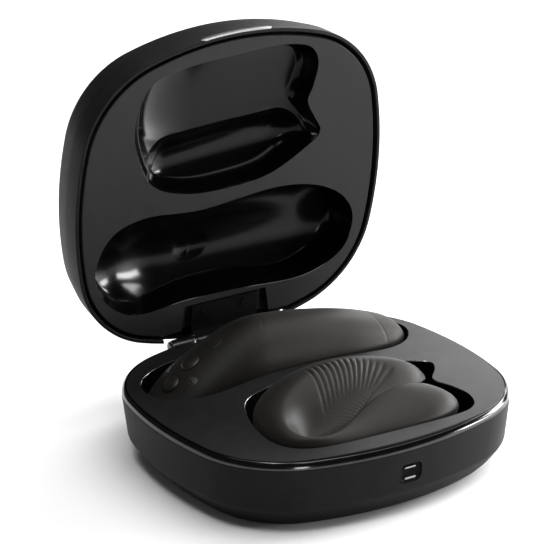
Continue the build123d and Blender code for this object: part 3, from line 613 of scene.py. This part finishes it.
SLIM_SHARP = 50
slim_skins = [
    new_object("slim_control_skin", slim_piece([(SEAM_SPOT, SEAM_TURN)]), pad_mat,
               "slim_unit", ["slim_control_end"], sharp=SLIM_SHARP),
    new_object("slim_main_skin", slim_piece([(SEAM_SPOT, -SEAM_TURN), (TIP_SPOT, TIP_TURN)]),
               skin_mat, "slim_unit", ["slim_body"], sharp=SLIM_SHARP),
    new_object("slim_tip_skin", slim_piece([(TIP_SPOT, -TIP_TURN)]), tip_mat,
               "slim_unit", ["slim_tip_cap"], sharp=SLIM_SHARP),
]

# the tray inside the slim unit: its two ends, and its section's sideways offset and height
TRAY_ENDS = (-39.0, 41.5)
TRAY = [(-7.5, 24.0), (-7.5, 19.6), (-7.1, 19.3), (7.1, 19.3), (7.5, 19.6), (7.5, 24.0),
        (6.9, 24.0), (6.9, 20.5), (-6.9, 20.5), (-6.9, 24.0)]


def tray_maker(bm):
    """The open tray that holds the slim unit's cell and board."""
    ends = [[bm.verts.new(base_place(x, SLIM_Y + aside, z)) for aside, z in TRAY]
            for x in TRAY_ENDS]
    for ring_verts in ends:
        bm.faces.new(ring_verts)
    for i in range(len(TRAY)):
        j = (i + 1) % len(TRAY)
        bm.faces.new((ends[0][i], ends[0][j], ends[1][j], ends[1][i]))


new_object("slim_tray", tray_maker, plastic_mat, "slim_unit", ["slim_chassis"],
           sharp=30)

# name, x, sideways offset, height, outward direction, radius, how proud it stands
SLIM_BUTTONS = [
    ("power", -30.0, 0.0, 46.0, (-0.43, 0.0, 0.90), 3.4, 0.25),
    ("plus", -41.3, 0.0, 39.9, (-0.53, 0.0, 0.85), 4.2, 1.1),
    ("minus", -51.1, 0.0, 32.4, (-0.64, 0.0, 0.77), 4.2, 1.1),
    ("left", -45.6, 8.3, 35.3, (-0.56, 0.30, 0.78), 2.5, 0.3),
    ("right", -45.6, -8.3, 35.3, (-0.56, -0.30, 0.78), 2.5, 0.3),
]
DOME_STEPS, DOME_AROUND, DOME_FOOT = 14, 64, 2.0
TICK_HIGH, TICK_WIDE, TICK_LONG = 0.14, 0.3, 0.45


def button_maker(x, aside, z, direction, radius, proud):
    """A soft dome with a short raised tick across its middle."""
    out = Vector(direction).normalized()
    across = Vector((0, 1, 0)) - out * out.y
    across.normalize()
    along = out.cross(across)
    centre = Vector((x, SLIM_Y + aside, z))

    def maker(bm):
        rings = []
        for step in range(DOME_STEPS + 1):
            angle = 0.5 * math.pi * step / DOME_STEPS
            reach = radius * math.cos(angle)
            rise = proud * math.sin(angle)
            ring_points = []
            for i in range(DOME_AROUND):
                a = 2 * math.pi * i / DOME_AROUND
                u, v = reach * math.cos(a), reach * math.sin(a)
                tick = TICK_HIGH * math.exp(-(v / TICK_WIDE) ** 2
                                            - (u / (TICK_LONG * radius)) ** 4)
                ring_points.append((centre + across * u + along * v + out * (rise + tick)) * MM)
            rings.append(ring_points)
        foot = [(centre + across * radius * math.cos(2 * math.pi * i / DOME_AROUND)
                 + along * radius * math.sin(2 * math.pi * i / DOME_AROUND)
                 - out * DOME_FOOT) * MM for i in range(DOME_AROUND)]
        add_rings(bm, [foot] + rings, True, True)
    return maker


for name, x, aside, z, direction, radius, proud in SLIM_BUTTONS:
    slim_skins.append(new_object(
        f"slim_{name}_dome", button_maker(x, aside, z, direction, radius, proud), button_mat,
        f"{name}_button", [f"slim_{name}_button"], sharp=SLIM_SHARP))

# ---- U unit -----------------------------------------------------------------
# crest x, y, z; outermost x, y; valley x, y, z; height of the widest line; underside;
# how far towards the valley the slope reaches before it levels out
U_ROWS = [
    (41.0, -20.0, 32.5, 42.0, -17.5, 40.0, -22.5, 32.0, 32.0, 31.0, 1.0),
    (37.0, -19.5, 37.0, 39.0, -10.5, 32.0, -27.0, 32.5, 32.0, 26.0, 1.0),
    (30.0, -18.0, 41.0, 31.0, -6.5, 22.5, -29.5, 33.0, 32.0, 22.0, 1.0),
    (20.0, -16.0, 44.0, 20.0, -3.0, 12.5, -31.5, 33.3, 32.0, 20.0, 1.0),
    (7.0, -14.5, 45.8, 6.0, -0.5, 4.0, -35.0, 32.8, 32.3, 19.5, 1.0),
    (-7.0, -15.0, 46.0, -9.0, -0.5, -4.0, -39.0, 31.8, 32.5, 19.5, 0.95),
    (-19.0, -18.0, 44.5, -24.0, -3.2, -11.5, -42.7, 30.3, 32.0, 19.5, 0.86),
    (-29.5, -24.0, 41.5, -36.5, -11.0, -18.5, -45.0, 28.8, 31.0, 19.8, 0.74),
    (-36.8, -33.0, 38.6, -43.5, -25.0, -23.0, -46.1, 27.8, 30.0, 20.5, 0.66),
    (-39.2, -42.0, 36.8, -45.3, -38.5, -24.3, -46.6, 27.5, 29.5, 21.0, 0.62),
    (-36.8, -49.5, 35.6, -42.2, -48.6, -24.4, -46.8, 27.7, 29.5, 21.5, 0.66),
    (-29.5, -53.2, 35.1, -33.0, -55.2, -23.2, -46.7, 27.6, 29.5, 21.5, 0.80),
    (-21.5, -52.1, 35.0, -23.5, -57.6, -19.5, -45.3, 28.0, 29.5, 21.5, 1.0),
    (-12.0, -47.6, 36.0, -10.5, -58.6, -12.5, -41.0, 29.5, 29.5, 20.5, 1.0),
    (-2.5, -42.9, 37.8, 1.5, -59.0, -4.0, -36.0, 31.2, 30.0, 19.8, 1.0),
    (7.5, -39.9, 39.7, 14.0, -58.6, 4.0, -33.0, 33.0, 30.0, 19.6, 1.0),
    (17.5, -39.4, 40.8, 24.5, -57.0, 14.0, -31.0, 33.5, 30.5, 19.8, 1.0),
    (26.5, -41.0, 39.8, 32.0, -54.5, 25.0, -32.5, 33.0, 30.5, 22.0, 1.0),
    (33.0, -44.0, 36.6, 36.5, -51.0, 34.0, -39.0, 32.5, 30.5, 26.0, 1.0),
    (37.0, -46.0, 32.5, 38.0, -47.2, 37.4, -44.0, 32.0, 31.0, 30.0, 1.0),
]
U_STEPS, U_AROUND = 720, 128
GROOVES, GROOVE_STEPS, GROOVE_DEEP = 14, 12, 0.75
GROOVE_REACH = 4.0  # squared distance past which a groove has no effect
GROOVED_SHARE = 0.53  # of the way round the U, from the rear arm's end
# the first, middle and last groove: start, pull and end of each curve
GROOVE_FAN = [((-12.7, -12.4), (6.3, -13.0), (25.3, -21.1)),
              ((-11.6, -28.2), (5.2, -26.7), (10.6, -25.8)),
              ((-20.3, -41.8), (-18.0, -44.6), (-12.2, -43.0))]


def groove_lines():
    """Each groove as a curve, between the first, middle and last of the fan."""
    lines = []
    for index in range(GROOVES):
        t = index / (GROOVES - 1)
        a, b, c = [Vector(p) * (1 - t) * (1 - 2 * t) + Vector(q) * 4 * t * (1 - t)
                   + Vector(r) * t * (2 * t - 1) for p, q, r in GROOVE_FAN]
        lines.append([tuple(a * (1 - k) ** 2 + b * 2 * k * (1 - k) + c * k * k)
                      for k in (step / GROOVE_STEPS for step in range(GROOVE_STEPS + 1))])
    return lines


GROOVE_LINES = groove_lines()


def groove_depth(x, y):
    """Fourteen curved grooves fan over the rear arm's inner side."""
    deepest = 0.0
    for line in GROOVE_LINES:
        nearest, where = GROOVE_REACH, 0.0
        for step in range(GROOVE_STEPS):
            (ax, ay), (bx, by) = line[step], line[step + 1]
            dx, dy = bx - ax, by - ay
            k = ((x - ax) * dx + (y - ay) * dy) / (dx * dx + dy * dy)
            k = min(max(k, 0.0), 1.0)
            away = (x - ax - dx * k) ** 2 + (y - ay - dy * k) ** 2
            if away < nearest:
                nearest, where = away, (step + k) / GROOVE_STEPS
        if nearest < GROOVE_REACH:
            fade = min(where / 0.12, 1.0, (1.0 - where) / 0.40)
            width = 0.50 - 0.22 * where
            deepest = max(deepest, math.exp(-nearest / width ** 2) * fade)
    return GROOVE_DEEP * deepest


def u_maker(bm):
    """Sections from the outer side over the crest and down the fan to the valley."""
    rings = []
    for index, row in enumerate(open_spline(U_ROWS, U_STEPS)):
        crest, top, outer = Vector(row[0:2]), row[2], Vector(row[3:5])
        valley, low, middle, bottom, reach = Vector(row[5:7]), row[7], row[8], row[9], row[10]
        ring_points = []
        for i in range(U_AROUND):
            angle = 2 * math.pi * i / U_AROUND
            c, s = math.cos(angle), math.sin(angle)
            p = crest + ((valley if c > 0 else outer) - crest) * abs(c)
            if c > 0 and s >= 0:
                z = low + (top - low) * (0.5 + 0.5 * math.cos(math.pi * min(c / reach, 1.0)))
            elif c > 0:
                z = low - (low - bottom) * -s
            else:
                z = middle + ((top - middle) if s > 0 else (middle - bottom)) * s
            if s > 0 and index < U_STEPS * GROOVED_SHARE and c > -0.25:
                z -= groove_depth(p.x, p.y)
            ring_points.append(base_place(p.x, p.y, z))
        rings.append(ring_points)
    add_rings(bm, rings, True, True)


u_skin = new_object("u_skin", u_maker, skin_mat, "u_unit", ["u_body"], sharp=170)
SPRING_LOW, SPRING_HIGH, SPRING_HALF = 23.3, 27.0, 0.5
SPRING_OUT = 0.3  # share of the way from the crest to the outer side


def spring_maker(bm):
    """The flat spring that runs round the bend inside the U unit."""
    path = [Vector(row[0:2]) * (1 - SPRING_OUT) + Vector(row[3:5]) * SPRING_OUT
            for row in open_spline(U_ROWS[5:14], 96)[14:]]
    rings = []
    for index, p in enumerate(path):
        along = path[min(index + 1, len(path) - 1)] - path[max(index - 1, 0)]
        aside = Vector((-along.y, along.x)).normalized() * SPRING_HALF
        rings.append([base_place(p.x + aside.x * out, p.y + aside.y * out, z)
                      for out, z in ((-1, SPRING_LOW), (1, SPRING_LOW),
                                     (1, SPRING_HIGH), (-1, SPRING_HIGH))])
    add_rings(bm, rings, True, True)


new_object("u_spring", spring_maker, steel_mat, "u_unit", ["u_spine"], sharp=30)

# ---- wells in the lid ----------------------------------------------------------
WELL_EDGE, WELL_FILLET, WELL_STEPS, WELL_TOP = 32.7, 5.0, 64, 54.6
CLEAR_OVER, CLEAR_BESIDE = 0.7, 0.9  # gaps kept above and beside the units
ABOVE_ALL = 90.0  # a height over the whole closed case, to look down from
# troughs: start x, y; end x, y; half width; depth
SLIM_LOBES = [(-26.0, 29.0, 44.0, 30.0, 27.0, 17.6), (-47.0, 28.0, -38.0, 28.5, 22.0, 14.6)]
U_LOBES = [(-24.0, -13.0, 26.0, -16.0, 15.5, 13.2), (-14.0, -41.0, 30.0, -43.0, 31.0, 11.0)]
AROUND_POINT = [(0.0, 0.0)] + [(CLEAR_BESIDE * math.cos(math.pi * k / 4),
                                CLEAR_BESIDE * math.sin(math.pi * k / 4)) for k in range(8)]


def height_over(*pieces):
    """How high the closed well must be to clear what lies under it."""
    trees = [BVHTree.FromPolygons([v.co for v in piece.data.vertices],
                                  [f.vertices for f in piece.data.polygons]) for piece in pieces]

    def at(p):
        best = 0.0
        for dx, dy in AROUND_POINT:
            for tree in trees:
                above = base_place(p.x + dx, p.y + dy, ABOVE_ALL)
                hit = tree.ray_cast(above, Vector((0, 0, -1)))[0]
                if hit:
                    best = max(best, hit.z / MM + CLEAR_OVER)
        return best
    return at


def lobed_well(mouth, lobes, blend, clear_at):
    """A well shaped by a few blended troughs, deep enough to clear the unit it closes over."""
    middle = sum(mouth, Vector((0, 0))) / len(mouth)

    def depth_at(p):
        total = 0.0
        for ax, ay, bx, by, width, deep in lobes:
            start, span = Vector((ax, ay)), Vector((bx - ax, by - ay))
            share = min(max((p - start).dot(span) / span.length_squared, 0), 1)
            away = min((p - start - span * share).length / width, 1)
            total += (deep * math.sqrt(1 - away * away)) ** blend
        return total ** (1 / blend)

    def maker(bm):
        rings = []
        for step in range(WELL_STEPS + 1):
            share = (step / WELL_STEPS) ** 1.6 * 0.985
            ring_points = []
            for mouth_point in mouth:
                p = mouth_point + (middle - mouth_point) * share
                near = 1 - min((p - mouth_point).length / WELL_FILLET, 1)
                z = crown(p.x, p.y, WELL_EDGE) + depth_at(p) * math.sqrt(1 - near * near)
                if step:
                    z = min(max(z, clear_at(p)), WELL_TOP)
                ring_points.append(lid_place(p.x, p.y, z))
            rings.append(ring_points)
        add_rings(bm, rings, False, True)
    return maker


new_object("slim_lid_bowl",
           lobed_well(slim_lid_mouth, SLIM_LOBES, 7.0, height_over(*slim_skins)),
           well_mat, "lid", ["lid_slim_well"], sharp=75)
new_object("u_lid_bowl", lobed_well(u_lid_mouth, U_LOBES, 24.0, height_over(u_skin)),
           well_mat, "lid", ["lid_u_well"], sharp=75)


# ---- hinge barrels ----------------------------------------------------------
# distance from the middle of the hinge and radius
BARREL = ((16.9, 1.3), (17.0, 2.3), (17.6, 3.1), (18.8, 3.55), (20.5, 3.7),
          (26.0, 3.7), (27.7, 3.55), (28.9, 3.1), (29.5, 2.3), (29.6, 1.3))
BARREL_AROUND = 64


def barrel_maker(bm):
    """Rounded barrels that cover the hinge's ears on both sides."""
    circle = [2 * math.pi * i / BARREL_AROUND for i in range(BARREL_AROUND)]
    for side in (-1, 1):
        rings = [[base_place(side * x, HINGE.y + radius * math.cos(angle),
                             HINGE.z + radius * math.sin(angle)) for angle in circle]
                 for x, radius in BARREL]
        add_rings(bm, rings, True, True)


new_object("hinge_barrels", barrel_maker, hinge_mat, "base", ["hinge_pin"], sharp=60)

# ---- charging port ----------------------------------------------------------
# how much smaller the outline is, and its depth y
BEZEL = ((0.0, -67.8), (0.0, -69.35), (0.25, -69.45), (0.6, -69.35), (1.2, -69.05),
         (2.0, -68.9), (3.2, -68.85))
BEZEL_WIDE, BEZEL_HIGH, BEZEL_RADIUS = 10.5, 8.4, 2.6
BAR = ((0.0, -66.3), (0.0, -69.55), (0.1, -69.68), (0.28, -69.7))
BAR_LONG, BAR_HIGH, BAR_RADIUS, BAR_OFFSET = 5.2, 0.8, 0.39, 2.3


def port_bezel_maker(bm):
    """A dished insert in the port's opening."""
    rings = [[port_place(u, v, y)
              for u, v in rounded(BEZEL_WIDE - 2 * shrink, BEZEL_HIGH - 2 * shrink,
                                  BEZEL_RADIUS - shrink * 0.6)] for shrink, y in BEZEL]
    add_rings(bm, rings, False, True)


def port_bar_maker(bm):
    """The two contact bars, one over the other."""
    for middle in (BAR_OFFSET, -BAR_OFFSET):
        rings = [[port_place(u, v + middle, y)
                  for u, v in rounded(BAR_LONG - 2 * shrink, BAR_HIGH - 2 * shrink,
                                      BAR_RADIUS - shrink)] for shrink, y in BAR]
        add_rings(bm, rings, True, True)


bezel_mat = finish("port_black", grey(0.0010), grey(0.0016), 0.40, specular=0.05)
new_object("port_insert", port_bezel_maker, bezel_mat, "base", ["port_bezel"],
           sharp=30)
new_object("port_bars", port_bar_maker, port_mat, "base", ["port_contacts"],
           sharp=30)


# ---- floor and light ------------------------------------------------------------
FLOOR_HALF = 15.0  # metres
floor_mesh = bpy.data.meshes.new("floor")
floor_mesh.from_pydata([(-FLOOR_HALF, -FLOOR_HALF, 0), (FLOOR_HALF, -FLOOR_HALF, 0),
                        (FLOOR_HALF, FLOOR_HALF, 0), (-FLOOR_HALF, FLOOR_HALF, 0)],
                       [], [(0, 1, 2, 3)])
floor_mesh.materials.append(
    finish("floor", grey(0.93), grey(0.95), 0.9, specular=0.05, mottle=400.0))
floor = bpy.data.objects.new("floor", floor_mesh)
bpy.context.scene.collection.objects.link(floor)


def lamp(name, at, aim, width, height, power):
    """A soft rectangular light; metres and watts."""
    data = bpy.data.lights.new(name, "AREA")
    data.shape = "RECTANGLE"
    data.size, data.size_y, data.energy = width, height, power
    obj = bpy.data.objects.new(name, data)
    bpy.context.scene.collection.objects.link(obj)
    obj.location = at
    obj.rotation_euler = (Vector(aim) - Vector(at)).to_track_quat("-Z", "Y").to_euler()


lamp("overhead", (0.7, 0.2, 3.0), (0.2, 0, 0), 3.6, 3.6, 128.0)
lamp("right_back", (1.5, 1.1, 0.75), (0.05, 0, 0.03), 1.2, 0.9, 19.0)
lamp("right_side", (1.7, -0.15, 0.28), (0, 0, 0.03), 0.6, 0.5, 16.0)
lamp("right_front", (1.35, -0.80, 0.12), (0, 0, 0.01), 0.5, 0.2, 20.0)
lamp("left_front", (-0.55, -1.7, 0.12), (0, 0, 0.01), 0.4, 0.2, 3.0)
lamp("unit_light", (-0.45, -0.25, 1.3), (0, -0.02, 0.04), 0.3, 0.3, 3.0)
lamp("floor_pool", (0.50, -0.05, 0.20), (0.5, -0.05, 0), 0.25, 0.3, 7.0)
world = bpy.data.worlds.new("studio")
bpy.context.scene.world = world
world.use_nodes = True
background = world.node_tree.nodes["Background"]
background.inputs["Color"].default_value = (1, 1, 1, 1)
background.inputs["Strength"].default_value = 0.07
bpy.context.scene.view_settings.view_transform = "Standard"
